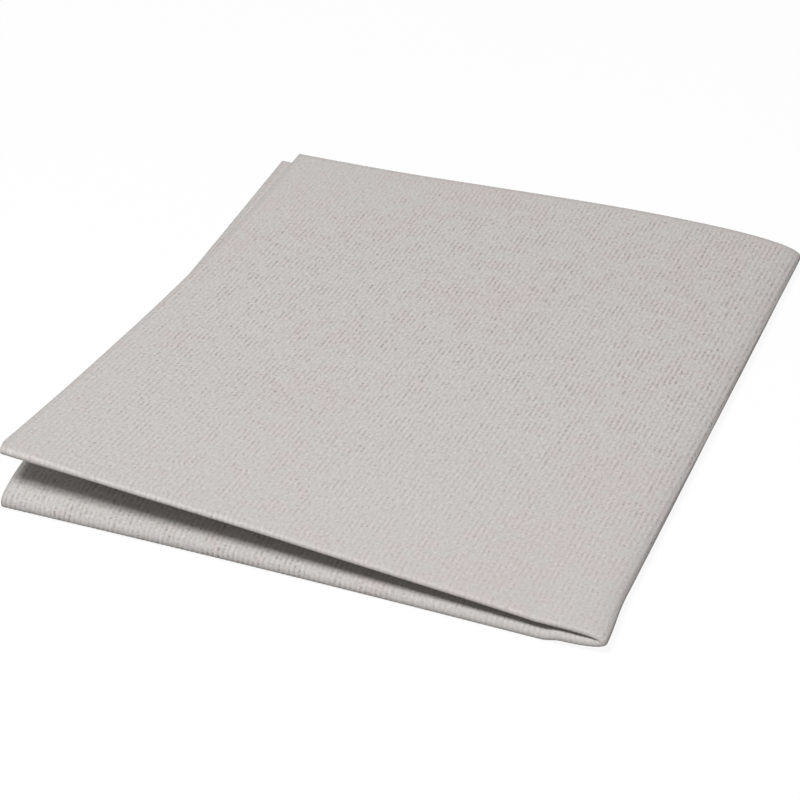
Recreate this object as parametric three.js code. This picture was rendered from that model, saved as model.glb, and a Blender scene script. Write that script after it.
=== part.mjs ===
// A synthetic chamois cloth, folded in quarters and laid on a table.
// One rectangular sheet is folded front to back, which makes two plies joined by a rolled front fold.
// That pair is folded again about its side, which makes a lower leaf and an upper leaf.
// The upper leaf stands open at the front left, where a hand takes hold of it to unfold the cloth.
// Lengths are in millimetres. X runs along the front from left to right, Y from front to back, Z up.
// The origin is on the table under the middle of the folded cloth.
import * as THREE from "three";

// Overall sizes of the folded cloth
const foldedWidth = 175;
const foldedDepth = 200;

// The sheet itself
const clothThickness = 0.8;
const plyGap = 0.3; // air between two plies that lie pressed together
const regionGap = 0.3; // clearance between neighbouring regions of the sheet

// Heights of the top ply above where it would lie if all four plies were pressed flat
const frontLeftLift = 16.7; // the lifted corner of the upper leaf
const frontRightLift = 3.8;
const backLeftLift = 0.8;
const backCrownLift = 5.5; // the soft crown beside the side fold, at the back

// Places along X
const frontFlatWidth = 18.5; // level stretch of the front edge beside the side fold
const backCrownInset = 40; // from the side fold to the crown
const sideFoldReach = 11.5; // from the side fold to where its wrap begins
const innerNoseInset = 2.1; // the inner ply's wrap turns this far inside the outer one
const upperFrontInset = 0.7; // the upper leaf's cut edge, set in from the lower leaf's, at the front
const upperBackInset = 5; // and at the back

// The lower leaf's cut back edge, set forward at its left end
const lowerBackInset = 2;

// The soft loop of the lower leaf: its front fold is a loose roll, and the inner ply swells up behind it
const rollLeftRise = 1.8;
const rollRightRise = 0.9;
const rollDepth = 60; // the roll's rise is gone this far behind the front edge
const swellLeftRise = 3.9;
const swellRightRise = 0.8;
const swellCrest = 22.5; // from the front edge to where the swelling is highest

// The front right corner, where both folds cross and the cloth is too bulky to lie flat
const cornerLift = 1.1;
const cornerStart = 17; // from the side fold to where the underside leaves the table
const cornerRamp = 6; // and the length over which it rises
const cornerDepth = 34; // from the front edge back to where it lies flat again

// Ratios, with no unit
const noseHeightShare = 0.41; // height of the side fold's outermost line, of the fold's own height
const frontSlopePower = 0.93;
const liftFadePower = 2.2; // how fast the front's lift fades towards the back
const insetPower = 1.5;
const frontWrapPower = 3.2; // squareness of the side fold's section at the front
const backWrapPower = 2.3; // and at the back
const underWrapPower = 2;
const bendShare = 0.75; // how far a cubic bend swings out, of its handles' length

// Faces along each region
const panelColumns = 20;
const panelRows = 14;
const bottomColumns = 12;
const bottomRows = 10;
const wrapSteps = 16;
const wrapRows = 12;
const foldSteps = 6;
const cornerColumns = 16;

// Sizes worked out from those above
const halfWidth = foldedWidth / 2;
const halfDepth = foldedDepth / 2;
const halfThickness = clothThickness / 2;
const plyPitch = clothThickness + plyGap;
const pressedTop = halfThickness + 3 * plyPitch; // middle of the top ply if all lay pressed flat
const wrapStart = halfWidth - sideFoldReach;
const outerNose = halfWidth - halfThickness;
const innerNose = outerNose - innerNoseInset;
const outerReach = outerNose - wrapStart;
const backCrown = halfWidth - backCrownInset;
const frontFlatStart = halfWidth - frontFlatWidth;

const clamp = THREE.MathUtils.clamp;
const lerp = THREE.MathUtils.lerp;
const smooth = (value, low, high) => THREE.MathUtils.smoothstep(value, low, high);

// Share of the way to the back edge, 0 at the front edge and 1 at the back
const depthShare = (y) => clamp((y + halfDepth) / foldedDepth, 0, 1);

// A quarter turn drawn as a superellipse: 1 where it starts level, 0 where it stands upright
function quarterTurn(share, power) {
  const inner = 1 - Math.pow(clamp(share, 0, 1), power);
  return Math.pow(Math.max(inner, 0), 1 / power);
}

// Lift of the underside at the crossed corner
function undersideLift(x, y) {
  const along = smooth(x, halfWidth - cornerStart, halfWidth - cornerStart + cornerRamp);
  const back = 1 - smooth(y + halfDepth, 0, cornerDepth);
  return cornerLift * along * back;
}

// Middle surface of the bottom ply
const bottomHeight = (x, y) => halfThickness + undersideLift(x, y);

// Rise of the lower leaf's inner ply over where it would lie pressed on the bottom ply
function loopRise(x, y) {
  const across = clamp((x + halfWidth) / foldedWidth, 0, 1);
  const behind = Math.max(y + halfDepth, 0);
  const roll = lerp(rollLeftRise, rollRightRise, across) * (1 - smooth(behind, 0, rollDepth));
  const along = behind / swellCrest;
  return roll + lerp(swellLeftRise, swellRightRise, across) * along * Math.exp(1 - along);
}

const lowerInnerHeight = (x, y) => bottomHeight(x, y) + plyPitch + loopRise(x, y);

// Lift of the top ply along the front edge, from the lifted corner down to the side fold
function frontLift(x) {
  const share = clamp((frontFlatStart - x) / (frontFlatStart + halfWidth), 0, 1);
  return lerp(frontRightLift, frontLeftLift, Math.pow(share, frontSlopePower));
}

// Lift of the top ply along the back edge, up to the crown
function backLift(x) {
  const share = clamp((x + halfWidth - upperBackInset) / (backCrown + halfWidth - upperBackInset), 0, 1);
  return lerp(backLeftLift, backCrownLift, (1 - Math.cos(Math.PI * share)) / 2);
}

// Height of the side fold's outermost line, at the front and at the back
function noseHeight(liftThere, y) {
  const foot = bottomHeight(wrapStart, y);
  return lerp(foot, pressedTop + liftThere, noseHeightShare);
}

// Middle surface of the top ply, from its cut edge over to the side fold's outermost line
function topHeight(x, y) {
  const fade = Math.pow(1 - depthShare(y), liftFadePower);
  const nose = lerp(noseHeight(backCrownLift, y), noseHeight(frontRightLift, y), fade);
  const frontTop = pressedTop + frontLift(x);
  const backTop = pressedTop + backLift(x);
  const frontTurn = quarterTurn((x - frontFlatStart) / (outerNose - frontFlatStart), frontWrapPower);
  const backTurn = quarterTurn((x - backCrown) / (outerNose - backCrown), backWrapPower);
  return lerp(lerp(nose, backTop, backTurn), lerp(nose, frontTop, frontTurn), fade);
}

// Section of the outer ply's wrap. The turn runs from 0, on top, through 1, at the nose, to 2, underneath.
function outerWrap(turn, y) {
  const swing = Math.sin((Math.min(turn, 2 - turn) * Math.PI) / 2);
  const x = wrapStart + outerReach * swing;
  const nose = topHeight(outerNose, y);
  if (turn <= 1) return new THREE.Vector3(x, y, topHeight(x, y));
  const foot = bottomHeight(x, y);
  return new THREE.Vector3(x, y, lerp(nose, foot, quarterTurn(swing, underWrapPower)));
}

// Section of the inner ply's wrap, an open bend from the upper leaf's inner ply to the lower leaf's
function innerWrap(turn, y) {
  const top = topHeight(wrapStart, y) - plyPitch;
  const foot = lowerInnerHeight(wrapStart, y);
  const slope = (topHeight(wrapStart, y) - topHeight(wrapStart - plyPitch, y)) / plyPitch;
  const pull = (innerNose - wrapStart) / bendShare;
  const bend = new THREE.CubicBezierCurve3(
    new THREE.Vector3(wrapStart, y, top),
    new THREE.Vector3(wrapStart + pull, y, top + slope * pull),
    new THREE.Vector3(wrapStart + pull, y, foot),
    new THREE.Vector3(wrapStart, y, foot),
  );
  return bend.getPoint(turn / 2);
}

// Cut edges: where each leaf ends at the left and at the back
const upperLeftEdge = (y) =>
  -halfWidth + lerp(upperFrontInset, upperBackInset, Math.pow(depthShare(y), insetPower));
const lowerBackEdge = (x) => halfDepth - (lowerBackInset * (outerNose - x)) / foldedWidth;

// The sheet's two plies as sections across the depth.
// A place of 0 is the upper leaf's cut edge, 1 to 2 the wrap, and 3 the lower leaf's cut edge.
function outerPly(place, y) {
  if (place < 1) {
    const x = lerp(upperLeftEdge(y), wrapStart, place);
    return new THREE.Vector3(x, y, topHeight(x, y));
  }
  if (place <= 2) return outerWrap(2 * (place - 1), y);
  const x = lerp(wrapStart, -halfWidth, place - 2);
  return new THREE.Vector3(x, y, bottomHeight(x, y));
}

function innerPly(place, y) {
  if (place < 1) {
    const x = lerp(upperLeftEdge(y), wrapStart, place);
    return new THREE.Vector3(x, y, topHeight(x, y) - plyPitch);
  }
  if (place <= 2) return innerWrap(2 * (place - 1), y);
  const x = lerp(wrapStart, -halfWidth, place - 2);
  return new THREE.Vector3(x, y, lowerInnerHeight(x, y));
}

// Line about which the front fold turns, set so that its outer face just reaches the front edge.
// The fold's radius is half the distance between the two plies there, so the line is settled in a few passes.
const settlingPasses = 5;

function frontLine(place) {
  let y = -halfDepth;
  for (let pass = 0; pass < settlingPasses; pass++) {
    const radius = outerPly(place, y).distanceTo(innerPly(place, y)) / 2;
    y = -halfDepth + halfThickness + radius;
  }
  return y;
}

function backLine(place) {
  if (place <= 1.5) return halfDepth;
  return lowerBackEdge(outerPly(place, halfDepth).x);
}

// A point of a ply, by its place across and its share of the way from the front fold to the cut back edge
function plyPoint(ply, place, share) {
  const front = frontLine(place) + regionGap / 2;
  return ply(place, lerp(front, backLine(place), share));
}

// A point of the front fold, a half turn from the outer ply (0) to the inner ply (1)
function frontFoldPoint(place, turn) {
  const y = frontLine(place);
  const outer = outerPly(place, y);
  const inner = innerPly(place, y);
  const middle = outer.clone().add(inner).divideScalar(2);
  const spoke = outer.clone().sub(middle);
  const radius = spoke.length();
  const trim = regionGap / 2 / radius;
  const angle = lerp(trim, Math.PI - trim, turn);
  middle.addScaledVector(spoke, Math.cos(angle));
  middle.y -= radius * Math.sin(angle);
  return middle;
}

// A closed piece of cloth of even thickness about a middle surface, which maps 0 to 1 both ways
function clothPiece(surface, columns, rows) {
  const step = 1e-4;
  const face = (side) => {
    const points = [];
    for (let j = 0; j <= rows; j++) {
      for (let i = 0; i <= columns; i++) {
        const u = i / columns;
        const v = j / rows;
        const across = surface(Math.min(u + step, 1), v).sub(surface(Math.max(u - step, 0), v));
        const along = surface(u, Math.min(v + step, 1)).sub(surface(u, Math.max(v - step, 0)));
        const normal = across.cross(along).normalize();
        points.push(surface(u, v).addScaledVector(normal, side * halfThickness));
      }
    }
    return points;
  };
  const points = [...face(1), ...face(-1)];
  const layer = (columns + 1) * (rows + 1);
  const at = (i, j, under) => j * (columns + 1) + i + (under ? layer : 0);
  const index = [];
  const quad = (a, b, c, d) => index.push(a, b, c, a, c, d);
  for (let j = 0; j < rows; j++) {
    for (let i = 0; i < columns; i++) {
      quad(at(i, j), at(i + 1, j), at(i + 1, j + 1), at(i, j + 1));
      quad(at(i, j, 1), at(i, j + 1, 1), at(i + 1, j + 1, 1), at(i + 1, j, 1));
    }
  }
  for (let i = 0; i < columns; i++) {
    quad(at(i, 0), at(i, 0, 1), at(i + 1, 0, 1), at(i + 1, 0));
    quad(at(i, rows), at(i + 1, rows), at(i + 1, rows, 1), at(i, rows, 1));
  }
  for (let j = 0; j < rows; j++) {
    quad(at(0, j), at(0, j + 1), at(0, j + 1, 1), at(0, j, 1));
    quad(at(columns, j), at(columns, j, 1), at(columns, j + 1, 1), at(columns, j + 1));
  }
  if (signedVolume(points, index) < 0) {
    for (let k = 0; k < index.length; k += 3) [index[k + 1], index[k + 2]] = [index[k + 2], index[k + 1]];
  }
  const geometry = new THREE.BufferGeometry().setFromPoints(points);
  geometry.setIndex(index);
  geometry.computeVertexNormals();
  return geometry;
}

function signedVolume(points, index) {
  let sum = 0;
  for (let k = 0; k < index.length; k += 3) {
    const [a, b, c] = [points[index[k]], points[index[k + 1]], points[index[k + 2]]];
    sum += a.dot(b.clone().cross(c));
  }
  return sum / 6;
}

const clothMaterial = () => new THREE.MeshStandardMaterial({ color: 0xc8c4c1, roughness: 0.95, metalness: 0 });

function clothMesh(name, surface, columns, rows) {
  const mesh = new THREE.Mesh(clothPiece(surface, columns, rows), clothMaterial());
  mesh.name = name;
  return mesh;
}

// Places where the wrap begins and ends, held back by half the clearance on each side
const panelTrim = regionGap / 2 / foldedWidth;
const wrapTrim = regionGap / 2 / (Math.PI * sideFoldReach);
const upperEnd = 1 - panelTrim;
const lowerStart = 2 + panelTrim;
const wrapPlace = (share) => lerp(1 + wrapTrim, 2 - wrapTrim, share);
const upperPlace = (share) => lerp(0, upperEnd, share);
const lowerPlace = (share) => lerp(lowerStart, 3, share);

// Rows lie closer together towards the front, where the cloth bends most
const frontWeighted = (share) => Math.pow(share, 1.7);

function panel(name, ply, placeOf, columns, rows) {
  const surface = (u, v) => plyPoint(ply, placeOf(u), frontWeighted(v));
  return clothMesh(name, surface, columns, rows);
}

function frontFold(name, placeOf, columns) {
  return clothMesh(name, (u, v) => frontFoldPoint(placeOf(u), v), columns, foldSteps);
}

function sideFold(name, ply) {
  return clothMesh(name, (u, v) => plyPoint(ply, wrapPlace(u), v), wrapSteps, wrapRows);
}

function upperLeaf() {
  const leaf = new THREE.Group();
  leaf.add(panel("top_panel", outerPly, upperPlace, panelColumns, panelRows));
  leaf.add(panel("upper_inner_panel", innerPly, upperPlace, panelColumns, panelRows));
  leaf.add(frontFold("upper_front_fold", upperPlace, panelColumns));
  return leaf;
}

function lowerLeaf() {
  const leaf = new THREE.Group();
  leaf.add(panel("bottom_panel", outerPly, lowerPlace, bottomColumns, bottomRows));
  leaf.add(panel("lower_inner_panel", innerPly, lowerPlace, panelColumns, panelRows));
  leaf.add(frontFold("lower_front_fold", lowerPlace, panelColumns));
  return leaf;
}

function sideFolds() {
  const folds = new THREE.Group();
  folds.add(sideFold("outer_side_fold", outerPly));
  folds.add(sideFold("inner_side_fold", innerPly));
  folds.add(frontFold("crossed_corner", wrapPlace, cornerColumns));
  return folds;
}

const chamoisCloth = new THREE.Group();
chamoisCloth.add(lowerLeaf(), upperLeaf(), sideFolds());

export default chamoisCloth;
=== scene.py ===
"""A synthetic chamois cloth, folded in quarters, with its materials, light and camera.

One rectangular sheet is folded front to back and then about its side.
Its middle surface comes from a few driving sizes, and ribbed cloth of even thickness is laid on it.
The sheet is cut along its ribs into three pieces, so that the upper leaf can open.
Lengths are in metres: X runs along the front, Y from front to back, Z up.
"""

import math
from functools import partial
from types import SimpleNamespace

import bpy
import numpy as np
from bpy.props import FloatProperty, FloatVectorProperty, IntProperty, PointerProperty
from mathutils import Matrix, Vector


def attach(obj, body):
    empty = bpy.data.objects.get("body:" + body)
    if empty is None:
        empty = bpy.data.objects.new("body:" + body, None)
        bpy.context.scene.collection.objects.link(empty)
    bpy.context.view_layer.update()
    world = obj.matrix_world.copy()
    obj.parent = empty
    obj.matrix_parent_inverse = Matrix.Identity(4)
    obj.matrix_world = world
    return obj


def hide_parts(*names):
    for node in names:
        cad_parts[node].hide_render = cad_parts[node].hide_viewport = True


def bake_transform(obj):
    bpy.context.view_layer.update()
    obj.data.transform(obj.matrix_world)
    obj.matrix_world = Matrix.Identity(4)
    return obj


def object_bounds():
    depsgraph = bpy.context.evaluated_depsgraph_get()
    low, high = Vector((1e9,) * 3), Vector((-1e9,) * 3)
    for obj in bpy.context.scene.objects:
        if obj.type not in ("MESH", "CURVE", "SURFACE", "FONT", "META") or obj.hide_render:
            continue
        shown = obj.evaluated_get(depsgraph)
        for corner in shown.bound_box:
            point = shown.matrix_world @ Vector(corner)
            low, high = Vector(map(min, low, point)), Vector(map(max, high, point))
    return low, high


bl_info = {
    "name": "Folded Chamois Cloth",
    "version": (1, 0, 0),
    "blender": (4, 5, 0),
    "location": "3D View > Sidebar > Chamois",
    "description": "Builds a ribbed chamois cloth folded in quarters, and a stage to show it on",
    "category": "Add Mesh",
}

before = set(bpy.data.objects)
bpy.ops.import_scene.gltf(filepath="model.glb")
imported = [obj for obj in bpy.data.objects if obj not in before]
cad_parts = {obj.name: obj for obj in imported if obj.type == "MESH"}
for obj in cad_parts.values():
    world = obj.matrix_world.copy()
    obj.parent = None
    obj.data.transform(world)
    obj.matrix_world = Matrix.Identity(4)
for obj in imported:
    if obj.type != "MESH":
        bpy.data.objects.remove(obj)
CAD_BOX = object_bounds()
CAD_SIZE = CAD_BOX[1] - CAD_BOX[0]

MM = 0.001
PLACE_MAP = "sheet_place"  # UV map with each point's place on the flat sheet, in metres
WHITE = (1.0, 1.0, 1.0, 1.0)

# Values that the settings and the node groups start from

SHEET_WIDTH, SHEET_LENGTH = 350 * MM, 400 * MM
RIB_PITCH = 1.487 * MM
STITCH_LENGTH = 1.25 * MM
FIBRE_SIZE, PATCH_SIZE = 0.6 * MM, 6 * MM
BRUSHED_LENGTH, BRUSHED_SHARE = 105 * MM, 0.3


# Sizes and colours that a user would change


def length(name, description, default):
    """A length that the sidebar shows in the scene's unit."""
    return FloatProperty(
        name=name, description=description, default=default, unit="LENGTH", precision=5
    )


def ratio(name, description, default):
    """A plain number with no unit."""
    return FloatProperty(name=name, description=description, default=default, precision=3)


def count(name, description, default, least):
    """A whole number that can't go below a least one."""
    return IntProperty(name=name, description=description, default=default, min=least)


def angle(name, description, degrees):
    """An angle, written in degrees."""
    return FloatProperty(
        name=name, description=description, default=math.radians(degrees), subtype="ANGLE"
    )


def colour(name, description, default):
    """A colour in linear light."""
    return FloatVectorProperty(
        name=name, description=description, default=default, subtype="COLOR", min=0, max=1
    )


class ClothSizes(bpy.types.PropertyGroup):
    """The sheet and the outline it is folded to."""

    folded_width: length("Folded Width", "From the cut edges to the side fold", CAD_SIZE.x)
    folded_depth: length("Folded Depth", "From the front fold to the back edge", CAD_SIZE.y)
    thickness: length("Thickness", "Thickness of one ply over its ribs", 0.8 * MM)
    ply_gap: length("Ply Gap", "Air between two plies pressed together", 0.3 * MM)
    rib_pitch: length("Rib Pitch", "Distance from one rib to the next", RIB_PITCH)
    rib_depth: length("Rib Depth", "Depth of the groove between two ribs", 0.08 * MM)
    inside_rib_depth: length("Inside Rib Depth", "Groove depth where two plies meet", 0.03 * MM)
    rib_lean: angle("Rib Lean", "Angle at which the ribs beside the side fold run askew to it", 1.1)
    brushed_length: length("Brushed Length", "From the front fold to full ribs", BRUSHED_LENGTH)
    brushed_share: ratio("Brushed Share", "Share of their depth left at that fold", BRUSHED_SHARE)
    sheet_width: length("Sheet Width", "Width of the flat sheet across its ribs", SHEET_WIDTH)
    sheet_length: length("Sheet Length", "Length of the flat sheet along its ribs", SHEET_LENGTH)
    edge_bulge: length("Edge Bulge", "How far a cut edge's loose fibres stand out", 0.16 * MM)


class FoldShape(bpy.types.PropertyGroup):
    """How the folded cloth lies: its lifts, insets and rolls."""

    front_left_lift: length("Front Left Lift", "Lift of the upper leaf's free corner", 17.1 * MM)
    front_right_lift: length("Front Right Lift", "Front edge's lift at the side fold", 3.2 * MM)
    back_left_lift: length("Back Left Lift", "Lift of the top ply at the back left", 1.3 * MM)
    back_crown_lift: length("Back Crown Lift", "Lift of the crown beside the side fold", 5.25 * MM)
    front_flat_width: length("Front Flat Width", "Level stretch beside the side fold", 18.5 * MM)
    back_crown_inset: length("Back Crown Inset", "From the side fold to the crown", 38 * MM)
    side_fold_reach: length("Side Fold Reach", "From the side fold to its wrap's start", 11.5 * MM)
    inner_nose_inset: length("Inner Nose Inset", "The inner wrap turns this far inside", 2.1 * MM)
    upper_front_inset: length("Upper Front Inset", "Upper leaf's cut edge at the front", 0.5 * MM)
    upper_tip_inset: length("Upper Tip Inset", "How far the upper tip is rounded off", 0.9 * MM)
    upper_tip_depth: length("Upper Tip Depth", "Depth over which it is rounded off", 5 * MM)
    upper_back_inset: length("Upper Back Inset", "Upper leaf's cut edge at the back", 6.3 * MM)
    lower_front_inset: length("Lower Front Inset", "Lower leaf's cut edge at the front", 0.35 * MM)
    lower_back_inset: length("Lower Back Inset", "Lower leaf's back edge at its left end", 0.2 * MM)
    ply_slip: length("Ply Slip", "How far an inner ply's cut edges fall short", 0.5 * MM)
    roll_left_rise: length("Roll Left Rise", "Lower front roll's rise at the left", 2.0 * MM)
    roll_right_rise: length("Roll Right Rise", "Lower front roll's rise at the right", 0.9 * MM)
    roll_power: ratio("Roll Power", "How late the roll's rise falls off towards the right", 2.0)
    roll_depth: length("Roll Depth", "Depth over which the roll's rise fades", 60 * MM)
    swell_left_rise: length("Swell Left Rise", "Swelling behind the roll at the left", 3.9 * MM)
    swell_right_rise: length("Swell Right Rise", "Swelling behind the roll at the right", 0.8 * MM)
    swell_crest: length("Swell Crest", "From the front edge to the swelling's crest", 22.5 * MM)
    corner_lift: length("Corner Lift", "Lift of the underside at the crossed corner", 1.1 * MM)
    corner_start: length("Corner Start", "From the side fold to where that lift begins", 17 * MM)
    corner_ramp: length("Corner Ramp", "Length over which the corner rises", 6 * MM)
    corner_depth: length("Corner Depth", "From the front edge to where it lies flat", 34 * MM)
    ripple_height: length("Ripple Height", "Height of the faint waves in the top ply", 0.12 * MM)
    lip_swell: length("Lip Swell", "Top ply's rise over the upper roll's loose left end", 0.3 * MM)
    lip_drop: length("Lip Drop", "Drop of the ply below it, under the same loose end", 0.5 * MM)
    lip_width: length("Lip Width", "Width over which the looseness fades", 30 * MM)
    lip_depth: length("Lip Depth", "Depth over which the looseness fades", 14 * MM)
    corner_flare: length("Corner Flare", "The crossed corner stands out sideways by this", 1.3 * MM)
    corner_flare_depth: length("Corner Flare Depth", "Depth over which the flare fades", 22 * MM)
    front_bow: length("Front Bow", "Hollow of the lower leaf's front edge", 0.6 * MM)
    nose_height_share: ratio("Nose Height Share", "Height of the side fold's outermost line", 0.41)
    front_slope_power: ratio("Front Slope Power", "Shape of the front edge's slope", 0.93)
    lift_fade_power: ratio("Lift Fade Power", "How fast the front's lift fades", 2.2)
    inset_start: ratio("Inset Start", "Share of the depth where the cut edge turns in", 0.02)
    inset_end: ratio("Inset End", "Share of the depth where it is fully inset", 1.0)
    front_wrap_power: ratio("Front Wrap Power", "Squareness of the side fold in front", 3.2)
    back_wrap_power: ratio("Back Wrap Power", "Squareness of the side fold behind", 2.3)
    under_wrap_power: ratio("Under Wrap Power", "Squareness of the side fold below", 2.0)
    bend_share: ratio("Bend Share", "Swing of a cubic bend, of its handles' length", 0.75)


class SeamPlaces(bpy.types.PropertyGroup):
    """Where the sheet is cut into pieces, and bend heights for the side fold."""

    upper_seam_inset: length("Upper Seam Inset", "From the wrap's top into its leaf", 4 * MM)
    lower_seam_inset: length("Lower Seam Inset", "From the wrap's foot into its leaf", 14 * MM)
    bend_foot: length("Bend Foot", "Below this, the fold stays with the lower leaf", 3.83 * MM)
    bend_head: length("Bend Head", "Above this, it turns with the upper leaf", 4.67 * MM)
    bend_fall: ratio("Bend Fall", "How far the bend leans towards the back", 0.0065)


class MeshDetail(bpy.types.PropertyGroup):
    """How finely the cloth is divided."""

    cells_per_rib: count("Cells per Rib", "Faces across one rib", 4, least=2)
    ply_rows: count("Ply Rows", "Faces from front to back on a ply", 46, least=8)
    fold_rows: count("Fold Rows", "Faces round the front fold", 14, least=4)
    edge_steps: count("Edge Steps", "Faces across a cut edge", 4, least=2)
    row_crowding: ratio("Row Crowding", "Power that crowds the rows towards the front", 1.4)


class ClothFinish(bpy.types.PropertyGroup):
    """Colours of the cloth and its painted shade, the scale of its texture and its shine."""

    cloth_colour: colour("Cloth Colour", "Pale warm grey of the fibres", (0.638, 0.611, 0.590))
    strand_colour: colour("Strand Colour", "Pale fibres that lie on the ribs", (0.81, 0.785, 0.765))
    # partly the darker ground between the ribs, partly painted shade in the grooves
    groove_tone_and_shade: colour("Groove Tone and Shade", "Grey between the ribs, partly painted shade in the grooves", (0.41, 0.389, 0.372))
    stitch_colour: colour("Stitch Colour", "Shade in the stitch holes", (0.22, 0.205, 0.195))
    warm_colour: colour("Warm Colour", "Tint of the faint warm patches", (0.648, 0.583, 0.570))
    edge_colour: colour("Edge Colour", "Loose fibres along the cut edges", (0.545, 0.521, 0.504))
    groove_share: ratio("Groove Share", "How far the grooves take their grey and painted shade", 0.7)
    stitch_share: ratio("Stitch Share", "How far the stitch holes take their own colour", 0.8)
    strand_share: ratio("Strand Share", "How far the pale strands take their own colour", 0.6)
    warm_share: ratio("Warm Share", "How far the warm patches take their own colour", 0.7)
    warm_rise: ratio("Warm Rise", "How far they spread near the back and side fold", 0.058)
    fibre_contrast: ratio("Fibre Contrast", "Light and dark of single fibres", 0.2)
    speck_contrast: ratio("Speck Contrast", "How much darker the specks between fibres are", 0.7)
    patch_contrast: ratio("Patch Contrast", "Light and dark of the mottled patches", 0.035)
    edge_shade: ratio("Edge Shade", "How much darker the cloth is along its cut edges", 0.1)
    # painted shade: the lower leaf's front roll is darkened in its colour, most towards its loose
    # left end
    roll_painted_shade: ratio("Roll Painted Shade", "Painted shade over the lower leaf's front roll", 0.1)
    # painted shade: the colour darkens from the cut edges towards the side fold, in place of the
    # light's fall to the right
    side_fold_painted_shade: ratio("Side Fold Painted Shade", "Painted shade that darkens the cloth towards the side fold", 0.06)
    # painted shade: the colour darkens where the ribs are brushed flat or faint, evening out the
    # light over the top
    brushed_painted_shade: ratio("Brushed Painted Shade", "Painted shade where its ribs are brushed flat", 0.06)
    fibre_relief: ratio("Fibre Relief", "Height of the fibres, of the relief depth", 0.1)
    groove_relief: ratio("Groove Relief", "Depth of the grooves, of the relief depth", 0.08)
    stitch_relief: ratio("Stitch Relief", "Depth of the stitches, of the relief depth", 0.15)
    relief_depth: length("Relief Depth", "Height that the shares above refer to", 1 * MM)
    stitch_length: length("Stitch Length", "Distance from one stitch to the next", STITCH_LENGTH)
    fibre_size: length("Fibre Size", "Grain of the fibre texture", FIBRE_SIZE)
    patch_size: length("Patch Size", "Size of the mottled patches", PATCH_SIZE)
    roughness: ratio("Roughness", "How widely the fibres spread what they reflect", 0.95)
    shine: ratio("Shine", "Strength of that reflection", 0.15)
    sheen: ratio("Sheen", "Pale bloom of the fibres at a grazing angle", 0.06)
    sheen_roughness: ratio("Sheen Roughness", "How widely that bloom spreads", 0.6)


class StageSettings(bpy.types.PropertyGroup):
    """Floor, light and camera."""

    floor_size: length("Floor Size", "Side of the square floor", 6.0)
    floor_drop: length("Floor Drop", "Gap between the floor and the lowest fibres", 0.05 * MM)
    floor_colour: colour("Floor Colour", "Plain floor, which shows as white", (0.45, 0.45, 0.45))
    floor_glow: ratio("Floor Glow", "How far the floor hides the cloth's shadow", 0.92)
    lamp_tilt: angle("Lamp Tilt", "Angle of the lamp from straight above towards the front", 27.2)
    lamp_lean: angle("Lamp Lean", "Angle of the lamp from straight above towards the left", 4)
    lamp_distance: length("Lamp Distance", "From the middle of the cloth to the lamp", 1.6)
    lamp_width: length("Lamp Width", "Width of the lamp from left to right", 0.5)
    lamp_depth: length("Lamp Depth", "Depth of the lamp from front to back", 0.4)
    lamp_strength: ratio("Lamp Strength", "Light on a white surface that faces the lamp", 0.88)
    sky_strength: ratio("Sky Strength", "Strength of the even light from all sides", 0.2)
    camera_azimuth: angle("Camera Azimuth", "Turn of the camera to the right of the front", 21.126)
    camera_elevation: angle("Camera Elevation", "Angle of the camera above the table", 35.236)
    camera_distance: length("Camera Distance", "From the camera to its target", 0.8803)
    camera_target: FloatVectorProperty(
        name="Camera Target",
        description="Point on the table that the camera looks at",
        default=(-2.993 * MM, -11.156 * MM, 0),
        subtype="XYZ",
        unit="LENGTH",
    )
    focal_length: FloatProperty(
        name="Focal Length", description="Lens of the camera", default=135.68, unit="CAMERA"
    )


SETTINGS = {
    "chamois_sizes": ClothSizes,
    "chamois_shape": FoldShape,
    "chamois_seams": SeamPlaces,
    "chamois_detail": MeshDetail,
    "chamois_finish": ClothFinish,
    "chamois_stage": StageSettings,
}


# Form of the folded cloth


def lerp(start, end, share):
    """The value at a share of the way from start to end."""
    return start + (end - start) * share


def ease(value, low, high):
    """0 below low, 1 above high, and smooth between them."""
    share = np.clip((value - low) / (high - low), 0, 1)
    return share * share * (3 - 2 * share)


def quarter_turn(share, power):
    """A quarter of a superellipse: 1 where it starts level, 0 where it stands upright."""
    return np.maximum(1 - np.clip(share, 0, 1) ** power, 0) ** (1 / power)


def points(x, y, z):
    """Coordinates joined into rows of points."""
    return np.stack(np.broadcast_arrays(x, y, z), axis=-1).astype(float)


def unit(vectors):
    """Vectors at length 1."""
    return vectors / np.linalg.norm(vectors, axis=-1, keepdims=True)


def walked(row):
    """Distance from the first point of a row to each point, along the row."""
    steps = np.linalg.norm(np.diff(row, axis=0), axis=-1)
    return np.concatenate([np.zeros_like(steps[:1]), np.cumsum(steps, axis=0)])


def cubic_bend(start, start_handle, end_handle, end, share):
    """A point of a cubic Bezier curve."""
    rest = 1 - share
    return (
        rest**3 * start
        + 3 * rest**2 * share * start_handle
        + 3 * rest * share**2 * end_handle
        + share**3 * end
    )


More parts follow.
